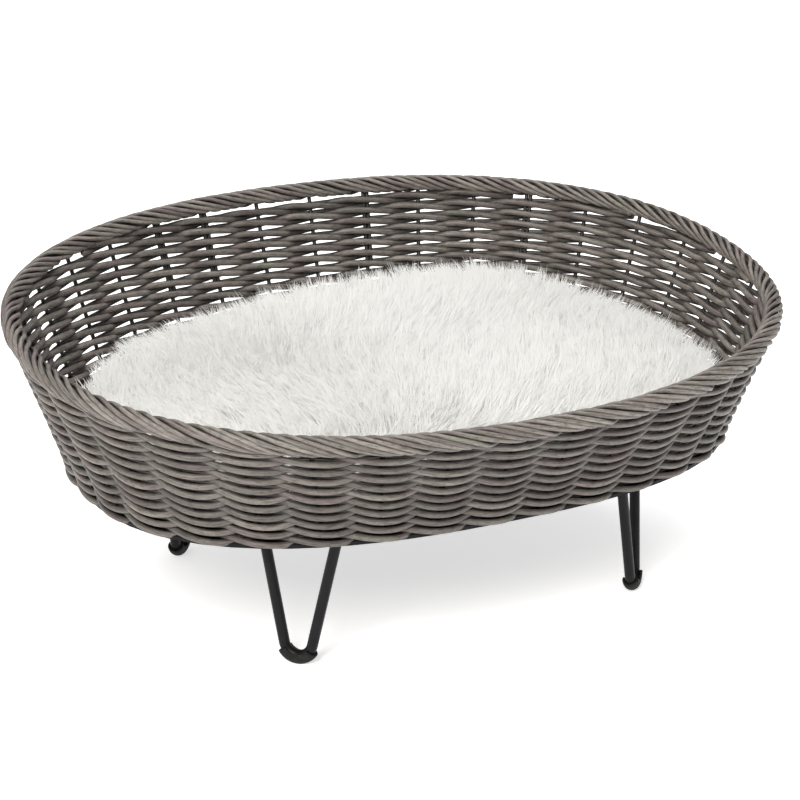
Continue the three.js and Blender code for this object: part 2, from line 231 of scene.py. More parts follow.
def dress(piece, material, slot, body, *nodes):
    """Gives a piece its finish and its body, and hides the solids that it stands for."""
    piece.data.materials.clear()
    piece.data.materials.append(material)
    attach(piece, body)
    if nodes:
        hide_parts(*nodes)
    return piece


def tubes(name, strands, thickness, roundness=3):
    """A mesh of round tubes. Each strand has its points, radii, tint and whether it is closed."""
    deselect()
    bpy.ops.curve.primitive_nurbs_path_add(location=(0, 0, 0))
    path = bpy.context.object.data
    path.splines.clear()
    path.dimensions = "3D"
    path.bevel_depth = thickness / 2
    path.bevel_resolution = roundness
    for strand in strands:
        points = strand["points"]
        spline = path.splines.new("POLY")
        spline.points.add(len(points) - 1)
        spline.points.foreach_set("co", np.c_[points, np.ones(len(points))].ravel())
        spline.points.foreach_set("radius", strand["radii"])
        spline.use_cyclic_u = strand["closed"]
    bpy.ops.object.convert(target="MESH")
    piece = settle(bpy.context.object, name)
    sides = 4 + 2 * roundness
    rings = sum(len(strand["points"]) for strand in strands)
    if len(piece.data.vertices) != rings * sides:
        raise RuntimeError(f"{name} has {len(piece.data.vertices)} points, not {rings * sides}")
    keep_strand_places(piece, strands, thickness, sides)
    merge_and_face_out(piece)
    bpy.ops.object.shade_smooth()
    return piece


# How far apart in the grain two strands lie that don't say where theirs starts, in metres.
GRAIN_STEP = 1.37
# The longest way along the grain at which a cane may start, in metres.
GRAIN_LENGTH = 40


def keep_strand_places(piece, strands, thickness, sides):
    """Where each point lies along and round its strand, its tint and which way it faces."""
    turn = 2 * np.pi * np.arange(sides) / sides
    places, tints, inward, soft = [], [], [], []
    spots = np.empty(3 * len(piece.data.vertices))
    piece.data.vertices.foreach_get("co", spots)
    spots = spots.reshape(-1, sides, 3)
    ring = 0
    for number, strand in enumerate(strands):
        points = strand["points"]
        soft.append(np.broadcast_to(strand.get("soft", (0, 0, 0)), (len(points) * sides, 3)))
        steps = np.linalg.norm(np.diff(points, axis=0), axis=1)
        start = strand.get("start", GRAIN_STEP * number)
        along = np.concatenate([[0], np.cumsum(steps)]) + start
        place = np.empty((len(points), sides, 3))
        place[:, :, 0] = along[:, None]
        place[:, :, 1] = thickness / 2 * np.cos(turn)
        place[:, :, 2] = thickness / 2 * np.sin(turn)
        places.append(place.reshape(-1, 3))
        tints.append(np.repeat(np.broadcast_to(strand["tint"], len(points)), sides))
        # strand_inward: how far each side of a strand faces into the weave, weighted by the
        # strand's 'out'. The cane finish paints shade by it.
        offsets = (spots[ring:ring + len(points)] - points[:, None]) / (thickness / 2)
        outward = strand.get("out", np.zeros((len(points), 3)))
        inward.append(-(offsets * outward[:, None]).sum(-1).ravel())
        ring += len(points)
    for name, kind, field, values in (
            ("strand_place", "FLOAT_VECTOR", "vector", places),
            ("strand_tint", "FLOAT", "value", tints),
            ("strand_inward", "FLOAT", "value", inward),
            ("strand_soft", "FLOAT_VECTOR", "vector", soft)):
        layer = piece.data.attributes.new(name, kind, "POINT")
        layer.data.foreach_set(field, np.concatenate(values).ravel())


def soften(piece, cover_share=0.75, own_share=0.35):
    """Turns the shading of a pile towards the cover that it stands on, as dense pile looks."""
    mesh = piece.data
    count = len(mesh.vertices)
    soft = np.empty(3 * count)
    mesh.attributes["strand_soft"].data.foreach_get("vector", soft)
    own = np.empty(3 * count)
    mesh.vertex_normals.foreach_get("vector", own)
    mixed = unit(
        cover_share * soft.reshape(-1, 3) + own_share * own.reshape(-1, 3) + (0, 0, 1e-6))
    mesh.normals_split_custom_set_from_vertices(mixed.tolist())


# The rings past a strand's end: their distance in thicknesses, and their size.
END_RINGS = ((0.16, 0.88), (0.28, 0.55), (0.32, 0.0))


def padded(values):
    """Values for a strand's points, carried on over the rings of both its ends."""
    ends = [(len(END_RINGS), len(END_RINGS))] + [(0, 0)] * (values.ndim - 1)
    return np.pad(values, ends, mode="edge")


def with_round_ends(points, thickness):
    """Points and radii of an open strand, with its ends rounded shut."""
    first = unit(points[0] - points[1]) * thickness
    last = unit(points[-1] - points[-2]) * thickness
    head = [points[0] + first * reach for reach, _ in reversed(END_RINGS)]
    tail = [points[-1] + last * reach for reach, _ in END_RINGS]
    sizes = [size for _, size in END_RINGS]
    return np.concatenate([head, points, tail]), sizes[::-1] + [1] * len(points) + sizes


def smooth_wander(rng, places, period, waves):
    """A smooth wander, mostly between -1 and 1, that closes on itself after the period."""
    total = np.zeros(len(places))
    for wave in range(1, waves + 1):
        total += rng.uniform(-1, 1) * np.sin(
            2 * np.pi * (wave * places / period + rng.uniform(0, 1)))
    return total / waves ** 0.5


# The wall's shape


def oval_places(length, width, squareness, shares, points=1441):
    """Places at shares of the way round an oval, from its right end towards the back."""
    angle = np.linspace(0, 2 * np.pi, points)
    along, across = np.cos(angle), np.sin(angle)
    x = length / 2 * np.sign(along) * np.abs(along) ** (1 - squareness)
    y = width / 2 * np.sign(across) * np.abs(across) ** (1 - squareness)
    travelled = np.concatenate([[0], np.cumsum(np.hypot(np.diff(x), np.diff(y)))])
    goal = (np.asarray(shares) % 1) * travelled[-1]
    return np.stack([np.interp(goal, travelled, x), np.interp(goal, travelled, y)], -1)


def unit(vectors):
    return vectors / np.linalg.norm(vectors, axis=-1, keepdims=True)


def ease(share):
    """A share from 0 to 1 that starts and ends slowly."""
    return share * share * (3 - 2 * share)


def blend(first, second, share):
    return first + (second - first) * share


class Wall:
    """The wall's own directions at shares of the way round: along it, up it and out of it."""

    def __init__(self, sizes, shares):
        self.sizes = sizes
        self.shares = np.asarray(shares, dtype=float)
        self.foot = self.feet(self.shares)
        top = self.rim(self.shares)
        self.length = np.linalg.norm(top - self.foot, axis=-1)
        self.up = unit(top - self.foot)
        step = 1 / (8 * sizes.stake_count)
        ahead = self.feet(self.shares + step) + self.rim(self.shares + step)
        behind = self.feet(self.shares - step) + self.rim(self.shares - step)
        self.along = unit(ahead - behind)
        self.out = unit(np.cross(self.along, self.up))
        self.side = (1 + self.foot[:, 1] / (sizes.base_width / 2 - sizes.stake_inset)) / 2

    def front(self):
        """1 at the front of the basket, fading to 0 at its ends and back."""
        return ease(np.clip(0.35 - 0.5 * self.out[:, 0] - self.out[:, 1], 0, 1))

    def feet(self, shares):
        sizes = self.sizes
        flat = oval_places(
            sizes.base_length - 2 * sizes.stake_inset, sizes.base_width - 2 * sizes.stake_inset,
            sizes.base_squareness, shares)
        return np.c_[flat, np.full(len(flat), sizes.board_top)]

    def rim(self, shares):
        sizes = self.sizes
        flat = oval_places(sizes.rim_length, sizes.rim_width, sizes.rim_squareness, shares)
        side = (1 + flat[:, 1] / (sizes.rim_width / 2)) / 2
        top = blend(sizes.front_height, sizes.back_height, side)
        return np.c_[flat, top - sizes.border_height / 2]

    def points(self, height, outward):
        height = np.broadcast_to(height, self.shares.shape)[:, None]
        outward = np.broadcast_to(outward, self.shares.shape)[:, None]
        return self.foot + self.up * height + self.out * outward


# Finishes


def blank_material(name):
    material = bpy.data.materials.new(name)
    material.use_nodes = True
    tree = material.node_tree
    tree.nodes.clear()
    output = tree.nodes.new("ShaderNodeOutputMaterial")
    shader = tree.nodes.new("ShaderNodeBsdfPrincipled")
    tree.links.new(shader.outputs["BSDF"], output.inputs["Surface"])
    return material, tree, shader


def own_place(tree):
    """Each point's place on the object, which doesn't change with the pose."""
    return tree.nodes.new("ShaderNodeTexCoord").outputs["Object"]


def times(colour, factor):
    return [channel * factor for channel in colour]


def noise(tree, source, scale, detail=3.0, roughness=0.55, stretch=(1, 1, 1)):
    mapping = tree.nodes.new("ShaderNodeMapping")
    mapping.inputs["Scale"].default_value = stretch
    tree.links.new(source, mapping.inputs["Vector"])
    texture = tree.nodes.new("ShaderNodeTexNoise")
    texture.inputs["Scale"].default_value = scale
    texture.inputs["Detail"].default_value = detail
    texture.inputs["Roughness"].default_value = roughness
    tree.links.new(mapping.outputs["Vector"], texture.inputs["Vector"])
    return texture.outputs["Fac"]


def fade(tree, source, low, high, to_low=0.0, to_high=1.0):
    node = tree.nodes.new("ShaderNodeMapRange")
    node.inputs["From Min"].default_value = low
    node.inputs["From Max"].default_value = high
    node.inputs["To Min"].default_value = to_low
    node.inputs["To Max"].default_value = to_high
    tree.links.new(source, node.inputs["Value"])
    return node.outputs["Result"]


def mix_colours(tree, factor, first, second, kind="MIX"):
    node = tree.nodes.new("ShaderNodeMix")
    node.data_type = "RGBA"
    node.blend_type = kind
    slots = [node.inputs[0], node.inputs[6], node.inputs[7]]
    for socket, value in zip(slots, (factor, first, second)):
        if isinstance(value, bpy.types.NodeSocket):
            tree.links.new(value, socket)
        elif isinstance(value, float):
            socket.default_value = value
        else:
            socket.default_value = (*value, 1)
    return node.outputs[2]


def bump(tree, shader, height, strength, distance):
    node = tree.nodes.new("ShaderNodeBump")
    node.inputs["Strength"].default_value = strength
    node.inputs["Distance"].default_value = distance
    tree.links.new(height, node.inputs["Height"])
    tree.links.new(node.outputs["Normal"], shader.inputs["Normal"])


def attribute(tree, name, output):
    node = tree.nodes.new("ShaderNodeAttribute")
    node.attribute_name = name
    return node.outputs[output]


def cane_finish(name, finishes, darkness=1.0, open_side=-0.2):
    """Stained round cane: long grain, slow changes of stain and a soft sheen.

    From open_side on, the side of a cane that is turned into the weave gets painted shade: its
    colour is darkened to stand in for the shade between canes and stakes.
    """
    material, tree, shader = blank_material(name)
    place = attribute(tree, "strand_place", "Vector")
    tint = attribute(tree, "strand_tint", "Fac")
    main = times(finishes.cane, darkness)
    brown = times(finishes.cane_brown, darkness)
    green = times(finishes.cane_green, darkness)
    dark = times(finishes.cane_grain, darkness)
    slow = noise(tree, place, 9.0, 2.0)
    colour = mix_colours(tree, fade(tree, slow, 0.46, 0.58), main, brown)
    patches = noise(tree, place, 14.0, 2.0, stretch=(1, 3, 3))
    colour = mix_colours(tree, fade(tree, patches, 0.54, 0.70), colour, green)
    grain = noise(tree, place, 1.0, 4.0, 0.65, stretch=(70, 1900, 1900))
    colour = mix_colours(tree, fade(tree, grain, 0.44, 0.70, 0.0, 0.8), colour, dark)
    specks = noise(tree, place, 1.0, 3.0, 0.7, stretch=(170, 650, 650))
    colour = mix_colours(tree, fade(tree, specks, 0.50, 0.60, 0.0, 0.6), colour, dark)
    # Painted shade: the side of a cane turned into the weave is multiplied towards near black, in
    # place of the shade that the weave casts.
    inward = fade(tree, attribute(tree, "strand_inward", "Fac"), open_side, 0.70)
    shade = times((1.0, 0.96, 0.94), 0.11)
    colour = mix_colours(tree, inward, colour, mix_colours(tree, 1.0, colour, shade, "MULTIPLY"))
    brightness = tree.nodes.new("ShaderNodeHueSaturation")
    tree.links.new(fade(tree, tint, 0.0, 1.0, 0.66, 1.34), brightness.inputs["Value"])
    tree.links.new(colour, brightness.inputs["Color"])
    tree.links.new(brightness.outputs["Color"], shader.inputs["Base Color"])
    tree.links.new(fade(tree, grain, 0.3, 0.7, 0.40, 0.58), shader.inputs["Roughness"])
    shader.inputs["Specular IOR Level"].default_value = 0.45
    bump(tree, shader, grain, 0.35, 0.0004)
    return material


# The finishes that have patches of a second colour over a fine texture. "patches" and "texture"
# are noises. "edge" is where a patch begins and is full in its noise, and "factor" is its colour
# over the main one. "rough" is the noise that the roughness follows, with its two ends, "relief"
# the strength and depth of the texture, and "fixed" what is the same all over.
BRUSHED_PAINT = {
    "patches": {"scale": 1.0, "detail": 4.0, "roughness": 0.6, "stretch": (16, 240, 240)},
    "texture": {"scale": 1.0, "stretch": (40, 900, 900)},
    "edge": (0.4, 0.75), "factor": 2.2, "rough": ("texture", 0.34, 0.52),
    "relief": (0.2, 0.0003), "fixed": {"Specular IOR Level": 0.12},
}
POWDER_COAT = {
    "patches": {"scale": 60.0, "detail": 4.0}, "texture": {"scale": 1500.0, "detail": 2.0},
    "edge": (0.45, 0.8), "factor": 1.8, "rough": ("patches", 0.30, 0.42),
    "relief": (0.16, 0.0002), "fixed": {"Specular IOR Level": 0.14},
}
DUSTY_RUBBER = {
    "patches": {"scale": 240.0, "detail": 4.0}, "texture": {"scale": 2200.0, "detail": 2.0},
    "edge": (0.5, 0.75), "factor": 3.2, "rough": ("patches", 0.62, 0.82),
    "relief": (0.25, 0.0002), "fixed": {"Specular IOR Level": 0.2},
}
MOTTLED_ZINC = {
    "patches": {"scale": 420.0, "detail": 4.0}, "texture": {"scale": 420.0, "detail": 4.0},
    "edge": (0.4, 0.7), "factor": 0.6, "rough": ("patches", 0.24, 0.42),
    "relief": (0.1, 0.0002), "fixed": {"Metallic": 1.0},
}
KNITTED_BACKING = {
    "patches": {"scale": 90.0}, "texture": {"scale": 700.0},
    "edge": (0.35, 0.65), "factor": 0.78, "rough": None,
    "relief": (0.6, 0.001), "fixed": {"Roughness": 0.9, "Sheen Weight": 0.4},
}


def plain_finish(name, colour, look):
    """One of the finishes above, in a colour."""
    material, tree, shader = blank_material(name)
    place = own_place(tree)
    noises = {part: noise(tree, place, **look[part]) for part in ("patches", "texture")}
    patches = fade(tree, noises["patches"], *look["edge"])
    second = times(colour, look["factor"])
    tree.links.new(
        mix_colours(tree, patches, tuple(colour), second), shader.inputs["Base Color"])
    if look["rough"]:
        part, *ends = look["rough"]
        tree.links.new(fade(tree, noises[part], 0.3, 0.7, *ends), shader.inputs["Roughness"])
    for socket, value in look["fixed"].items():
        shader.inputs[socket].default_value = value
    bump(tree, shader, noises["texture"], *look["relief"])
    return material


def plush_finish(name, colour):
    """Long silky pile: white strands that differ a little in tone."""
    material, tree, shader = blank_material(name)
    tint = attribute(tree, "strand_tint", "Fac")
    shade = times(colour, 0.93)
    tree.links.new(mix_colours(tree, fade(tree, tint, 0.0, 1.0), shade, tuple(colour)),
                   shader.inputs["Base Color"])
    shader.inputs["Roughness"].default_value = 0.62
    shader.inputs["Specular IOR Level"].default_value = 0.35
    # Painted light: the pile glows a little, in place of light that spreads through white pile, so
    # that the shade between strands stays light.
    shader.inputs["Emission Color"].default_value = (1.0, 0.99, 0.96, 1)
    shader.inputs["Emission Strength"].default_value = 0.26
    shader.inputs["Sheen Weight"].default_value = 0.3
    shader.inputs["Sheen Roughness"].default_value = 0.4
    return material


# Basket


class PETBED_OT_board(bpy.types.Operator):
    """Paints the board"""
    bl_idname = "petbed.board"
    bl_label = "Board"

    def execute(self, context):
        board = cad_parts["base_board"]
        finish = plain_finish("board_paint", context.scene.pet_finishes.paint, BRUSHED_PAINT)
        board.data.materials.clear()
        board.data.materials.append(finish)
        return {"FINISHED"}


# How the canes of a row lie. Lengths are metres, and the rest are shares.
POINTS_PER_STAKE = 12
ROW_WANDER = 0.0002
ROW_WAVES = 14
DEPTH_WANDER = 0.05
DEPTH_WAVES = 17
# How firmly a cane keeps to its side of the wall between its crossings.
BACK_FIRMNESS = 1.6
FRONT_FIRMNESS = 0.7
CROSSING_POWER = 1.2
# How far the inner cane of a pair lies over the outer one, as a share of the distance between
# them: more towards +X, more towards +Y, and everywhere.
PAIR_LEAN = (0.05, 0.32, -0.15)
# The lowest rows lie flat on the board's edge, and the highest ones lie open at the front.
LOW_ROW_FADE = 0.45
LOW_ROW_DROP = 0.0012
LOW_ROW_OUT = 0.0026
LOW_ROW_LEVEL = 0.7
HIGH_ROWS = (5, 8)
HIGH_ROW_LEVEL = 0.65
BACK_CANE = 1.04
FRONT_CANE = 0.94
# How much painted shade a cane outside the stakes gets on its inner side, where a cane inside them
# gets it in full on its outer side.
OUTER_CANE_PAINTED_SHADE = 0.25

# The thin cane along a row.
FILLER_RISE = 0.0016
FILLER_BACK_RISE = 0.0015
FILLER_END_RISE = 0.0005
FILLER_WANDER = 0.0007
FILLER_WAVES = 12
FILLER_OUT = 0.0016
FRONT_FILLER = 0.55
BACK_FILLER = 0.72
TO_BACK_RIGHT = (0.42, 0.9)

CANE_TINTS = (0.15, 0.8)
TINT_WANDER = 0.2
TINT_WAVES = 9
# How far under the rim's middle line a short row ends.
ROW_END_COVER = 0.006


def row_height(sizes, wall, row):
    return sizes.first_row + row * blend(sizes.front_pitch, sizes.back_pitch, wall.side)


def row_strand(sizes, rng, row, cane, stakes):
    """One cane of a row. It passes outside every other stake and crosses its mate between."""
    wall = Wall(sizes, stakes / sizes.stake_count)
    front = wall.front()
    turn = math.pi * cane - math.pi * stakes
    firmness = blend(BACK_FIRMNESS, FRONT_FIRMNESS, front)
    swing = np.tanh(firmness * np.cos(turn)) / np.tanh(firmness)
    crossing = np.sign(np.sin(turn)) * np.abs(np.sin(turn)) ** CROSSING_POWER
    wander = ROW_WANDER * smooth_wander(rng, stakes, sizes.stake_count, ROW_WAVES)
    change = DEPTH_WANDER * smooth_wander(rng, stakes, sizes.stake_count, DEPTH_WAVES)
    low_row = LOW_ROW_FADE ** row
    high_row = np.interp(row, HIGH_ROWS, (0, 1))
    lean_x, lean_y, lean = PAIR_LEAN
    lean = lean_x * wall.out[:, 0] + lean_y * wall.out[:, 1] + lean
    shut = front * (1 - LOW_ROW_LEVEL * low_row - HIGH_ROW_LEVEL * high_row)
    drop = 2 * sizes.weave_depth * lean + sizes.front_pitch * shut
    height = row_height(sizes, wall, row) + wander + sizes.weave_rise * crossing
    height = height - drop / 2 * swing - LOW_ROW_DROP * low_row
    outward = sizes.weave_depth * (1 + change) * swing + LOW_ROW_OUT * low_row
    # Painted shade: each cane is painted dark on its side that faces across the stakes, in place
    # of the shade between the paired canes.
    facing = np.where(swing > 0, OUTER_CANE_PAINTED_SHADE, 1) * swing
    radii = blend(BACK_CANE, FRONT_CANE, front)
    return wall.points(height, outward), radii, wall.out * facing[:, None]


def filler_strand(sizes, rng, row, stakes):
    """A thin cane laid along a row, outside the stakes. It closes the gap above the row."""
    wall = Wall(sizes, stakes / sizes.stake_count)
    wander = smooth_wander(rng, stakes, sizes.stake_count, FILLER_WAVES)
    behind = np.clip(wall.out[:, :2] @ TO_BACK_RIGHT, 0, 1) ** 3
    rise = FILLER_RISE + FILLER_BACK_RISE * behind
    rise = rise + FILLER_END_RISE * np.clip(wall.out[:, 0], 0, 1)
    rise = rise + FILLER_WANDER * (rng.uniform(-1, 1) + wander)
    away = 1 - wall.front()
    height = row_height(sizes, wall, row) + rise * away
    # Painted shade: at the front the filler is painted dark on its outer side, where it shows in
    # the row's gap. Towards the back it gets a little on its inner side.
    facing = blend(-1, 0.1, away)
    radii = blend(FRONT_FILLER, BACK_FILLER, away)
    return wall.points(height, FILLER_OUT * away), radii, wall.out * facing[:, None]


class PETBED_OT_weavers(bpy.types.Operator):
    """Weaves the rows of paired canes round the stakes"""
    bl_idname = "petbed.weavers"
    bl_label = "Weavers"

    def execute(self, context):
        sizes = context.scene.pet_basket
        finish = cane_finish("weaving_cane", context.scene.pet_finishes)
        names = sorted(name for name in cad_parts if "weaver_" in name)
        for name in names:
            row = int(name[-4:-2]) - 1
            cane = "ab".index(name[-1])
            rng = random.Random(f"{name} cane")
            closed = name.startswith("weaver_")
            if closed:
                stakes = np.arange(sizes.stake_count * POINTS_PER_STAKE) / POINTS_PER_STAKE
            else:
                stakes = self.short_row_stakes(sizes, row)
            tint = rng.uniform(*CANE_TINTS)
            shape = row_strand(sizes, rng, row, cane, stakes)
            strands = [self.strand(rng, shape, closed, sizes, tint)]
            if cane == 0:
                shape = filler_strand(sizes, rng, row, stakes)
                strands.append(self.strand(rng, shape, closed, sizes, tint - 0.1))
            piece = tubes(f"cane_{name}", strands, sizes.cane_thickness)
            dress(piece, finish, "weaving_cane", "bed", name)
        return {"FINISHED"}

    def strand(self, rng, shape, closed, sizes, tint):
        points, radii, out = shape
        if not closed:
            points, ends = with_round_ends(points, sizes.cane_thickness)
            radii = ends * padded(radii)
            out = padded(out)
        stakes = np.arange(len(points)) / POINTS_PER_STAKE
        wander = TINT_WANDER * smooth_wander(rng, stakes, sizes.stake_count, TINT_WAVES)
        return {"points": points, "radii": radii, "closed": closed, "out": out,
                "tint": np.clip(tint + wander, 0, 1), "start": rng.uniform(0, GRAIN_LENGTH)}

    def short_row_stakes(self, sizes, row):
        """The stretch round the back where a row lies under the border, its ends hidden in it."""
        quarter = sizes.stake_count / 4 * POINTS_PER_STAKE
        stakes = np.arange(round(-quarter), round(3 * quarter)) / POINTS_PER_STAKE
        wall = Wall(sizes, stakes / sizes.stake_count)
        return stakes[row_height(sizes, wall, row) <= wall.length - ROW_END_COVER]


# By-stakes: the stake that each stands beside, and on which side. They stand in the upper wall.
BY_STAKES = ((4, 1), (7, -1), (10, 1), (11, -1))
BY_STAKE_FOOT = 0.55
STAKE_IN_BOARD = 0.002
STAKE_UNDER_RIM = 0.003
BY_STAKE_UNDER_RIM = 0.004


class PETBED_OT_stakes(bpy.types.Operator):
    """Stands the stakes in the board, with short by-stakes beside some at the back"""
    bl_idname = "petbed.stakes"
    bl_label = "Stakes"

    def execute(self, context):
        sizes = context.scene.pet_basket
        rng = random.Random("stakes")
        strands = []
        for stake in range(sizes.stake_count):
            wall = Wall(sizes, [stake / sizes.stake_count])
            high = wall.length[0] - STAKE_UNDER_RIM
            strands.append(self.strand(sizes, rng, wall, -STAKE_IN_BOARD, high, 0))
        for stake, side in BY_STAKES:
            wall = Wall(sizes, [stake / sizes.stake_count])
            low = BY_STAKE_FOOT * wall.length[0]
            high = wall.length[0] - BY_STAKE_UNDER_RIM
            sideways = side * sizes.stake_thickness * 0.98
            strands.append(self.strand(sizes, rng, wall, low, high, sideways))
        piece = tubes("stakes", strands, sizes.stake_thickness, roundness=2)
        # Painted shade: the stakes' colours are scaled to 0.22, as the stakes stand in the shade
        # of the weave's gaps.
        finish = cane_finish("stake_cane_painted_shade", context.scene.pet_finishes, 0.22)
        dress(piece, finish, "rim_cane", "bed", "stakes_and_rim")
        return {"FINISHED"}

    def strand(self, sizes, rng, wall, low, high, sideways):
        """A straight upright cane between two heights on the wall."""
        heights = np.linspace(low, high, 9)[:, None]
        points = wall.foot + wall.up * heights + wall.along * sideways
        points, radii = with_round_ends(points, sizes.stake_thickness)
        return {"points": points, "radii": radii, "closed": False, "tint": rng.uniform(0.25, 0.7)}


# How a cane goes round the border, in degrees from straight out of the wall: where it starts,
# how far it turns, and the crest where it goes slowest.
BORDER_START = 250
BORDER_TURN = 350
BORDER_CREST = 37
CREST_SHARE = 0.17
BORDER_POINTS = 25
# The canes of a bundle, in spaces between stakes: where the first starts, how close they lie
# where the bundle leaves the wall, and how far each strays.
BUNDLE_START = 0.15
BUNDLE_SPACING = 0.17
BUNDLE_WANDER = 0.035
# Where the canes of a bundle draw together, as turns in radians: where they go under, wholly to
# not at all, and where they come up, not at all to in part.
GOING_UNDER = (-1.1, 0.9)
COMING_UP = (3.0, 4.2)
COMING_UP_SHARE = 0.6
# How much deeper a cane lies at the two ends of its way, and the shares of it that this takes.
HEAD_TUCK, HEAD_LENGTH = 0.4, 0.08
TAIL_TUCK, TAIL_LENGTH = 0.25, 0.1
BORDER_SWELL = 0.07
BORDER_NUDGE = 0.0004
BORDER_TINTS = (0.2, 0.8)
# The bent stakes in the border's middle: how far out and up each lies, and their thickness.
CORE_PLACES = ((0, 0.0016), (0.0014, -0.0012), (-0.0014, -0.0012))
CORE_THICKNESS = 0.0062


def border_turn(share):
    """How far round the border a cane has gone: slow over the crest and at its tucked ends."""
    total = math.radians(BORDER_TURN)
    start = math.radians(BORDER_START)
    crest = math.radians(BORDER_CREST)
    turn = start - total * share
    for _ in range(3):
        slowing = np.sin(2 * (turn - crest)) - np.sin(2 * (start - crest))
        turn = start - total * share - CREST_SHARE * slowing
    return turn


class PETBED_OT_border(bpy.types.Operator):
    """Rolls the ends of the stakes into the rope-like border"""
    bl_idname = "petbed.border"
    bl_label = "Border"

    def execute(self, context):
        sizes = context.scene.pet_basket
        finishes = context.scene.pet_finishes
        rng = random.Random("border")
        thickness = sizes.border_cane_thickness
        strands = []
        ring = oval_places(
            sizes.rim_length, sizes.rim_width, sizes.rim_squareness, np.linspace(0, 1, 361))
        way_round = np.linalg.norm(np.diff(ring, axis=0), axis=1).sum()
        lead = sizes.border_lead / way_round * sizes.stake_count
        bundle_of = sizes.canes_in_bundle
        share = np.linspace(0, 1, BORDER_POINTS)
        turn = border_turn(share)
        half_out = (sizes.border_thickness - thickness) / 2
        half_up = (sizes.border_height - thickness) / 2
        under = ease(np.interp(turn, GOING_UNDER, (1, 0)))
        together = under + COMING_UP_SHARE * np.interp(turn, COMING_UP, (0, 1))
        tuck = 1 - TAIL_TUCK * np.interp(share, (1 - TAIL_LENGTH, 1), (0, 1))
        tuck = tuck - HEAD_TUCK * np.interp(share, (0, HEAD_LENGTH), (1, 0))
        for number in range(bundle_of * sizes.stake_count):
            bundle, place = divmod(number, bundle_of)
            from_middle = (bundle_of - 1) / 2 - place
            gather = from_middle * (1 / bundle_of - BUNDLE_SPACING) * together
            stakes = bundle + place / bundle_of + BUNDLE_START + gather
            stakes = stakes + lead * share * BORDER_TURN / 360
            stakes = stakes + BUNDLE_WANDER * rng.uniform(-1, 1)
            wall = Wall(sizes, stakes / sizes.stake_count)
            swell = 1 + BORDER_SWELL * rng.uniform(-1, 1)
            nudge = BORDER_NUDGE * rng.uniform(-1, 1)
            outward = half_out * swell * tuck * np.cos(turn)
            height = wall.length + half_up * tuck * np.sin(turn) + nudge * (tuck - 0.6)
            points, radii = with_round_ends(wall.points(height, outward), thickness)
            # Painted shade: each border cane is painted darker on its side that faces the middle
            # of the roll.
            out = wall.out * np.cos(turn)[:, None] + wall.up * np.sin(turn)[:, None]
            strands.append({
                "points": points, "radii": radii, "closed": False, "out": padded(out),
                "tint": rng.uniform(*BORDER_TINTS), "start": rng.uniform(0, GRAIN_LENGTH)})
        piece = tubes("border_canes", strands, thickness)
        # Painted shade grows from the side of a border cane that faces out of the roll, which has
        # none. 1.3 brightens the cane colours.
        finish = cane_finish("border_cane", finishes, 1.3, -0.95)
        dress(piece, finish, "rim_cane", "bed", "stakes_and_rim")
        self.core(sizes, finishes)
        return {"FINISHED"}

    def core(self, sizes, finishes):
        """The bent stakes inside the border, seen only through its slits, with painted shade in
        their colour.
        """
        strands = []
        stakes = np.arange(sizes.stake_count * 6) / 6
        wall = Wall(sizes, stakes / sizes.stake_count)
        for outward, height in CORE_PLACES:
            points = wall.points(wall.length + height, outward)
            strands.append({
                "points": points, "radii": [1] * len(points), "closed": True, "tint": 0.2})
        piece = tubes("border_core", strands, CORE_THICKNESS, roundness=2)
        # Painted shade: the core's colours are scaled to 0.12, as it lies in shade inside the
        # border.
        finish = cane_finish("core_cane_painted_shade", finishes, 0.12)
        dress(piece, finish, "rim_cane", "bed", "stakes_and_rim")


# Legs


# The rubber saddles: wall, gap to the rod, reach round it in degrees, and the flat ground off.
RUBBER_WALL = 0.0021
RUBBER_GAP = 0.00015
RUBBER_WRAP = 112
SOLE_UNDER_ROD = 0.0018
BEND_POINTS = 25
ROD_POINTS = 12
# The gap between the board and a plate.
PLATE_GAP = 0.0003
PLATE_CORNER = 0.005
SCREW_HOLE_RADIUS = 0.0028


def leg_places(context):
    """Where each leg's plate is centred under the board, and how far it is turned."""
    basket = context.scene.pet_basket
    sizes = context.scene.pet_legs
    lean = sizes.height * math.tan(sizes.splay)
    places = {}
    for name, side_x, side_y in (("front_left", -1, -1), ("front_right", 1, -1),
                                 ("back_left", -1, 1), ("back_right", 1, 1)):
        out_x = side_x * math.sin(sizes.turn)
        out_y = side_y * math.cos(sizes.turn)
        x = side_x * (basket.base_length / 2 - sizes.foot_end) - out_x * lean
        y = side_y * (basket.base_width / 2 - sizes.foot_side) - out_y * lean
        turn = math.atan2(out_y, out_x) - math.pi / 2
        places[name] = Matrix.Translation((x, y, sizes.height)) @ Matrix.Rotation(turn, 4, "Z")
    return places


class LegPlane:
    """The leaning plane that a hairpin lies in, measured down from the board's underside."""

    def __init__(self, sizes):
        self.sizes = sizes
        self.lean = sizes.splay
        self.normal = np.array([0, math.cos(self.lean), math.sin(self.lean)])
        rod = sizes.rod_thickness / 2
        self.bottom = (sizes.height - SOLE_UNDER_ROD - rod) / math.cos(self.lean)
        self.centre = self.bottom - sizes.bend_radius
        reach = math.hypot(sizes.rod_spread / 2, self.centre)
        self.rod_lean = math.acos(sizes.bend_radius / reach) - math.atan2(
            self.centre, sizes.rod_spread / 2)
        self.half_bend = math.pi / 2 - self.rod_lean

    def point(self, across, down):
        return np.array([across, down * math.sin(self.lean), -down * math.cos(self.lean)])

    def bend(self, angle):
        outward = self.point(math.sin(angle), math.cos(angle))
        return self.point(0, self.centre) + outward * self.sizes.bend_radius, outward


def copies_at(piece, places, name_of, finish, slot, node_of):
    """Copies a piece, each copy with its own mesh, to each place."""
    for label, place in places.items():
        copy = piece.copy()
        copy.data = piece.data.copy()
        bpy.context.collection.objects.link(copy)
        copy.data.transform(place)
        copy.name = name_of(label)
        copy.data.name = copy.name
        dress(copy, finish, slot, "bed", node_of(label))
    bpy.data.objects.remove(piece)


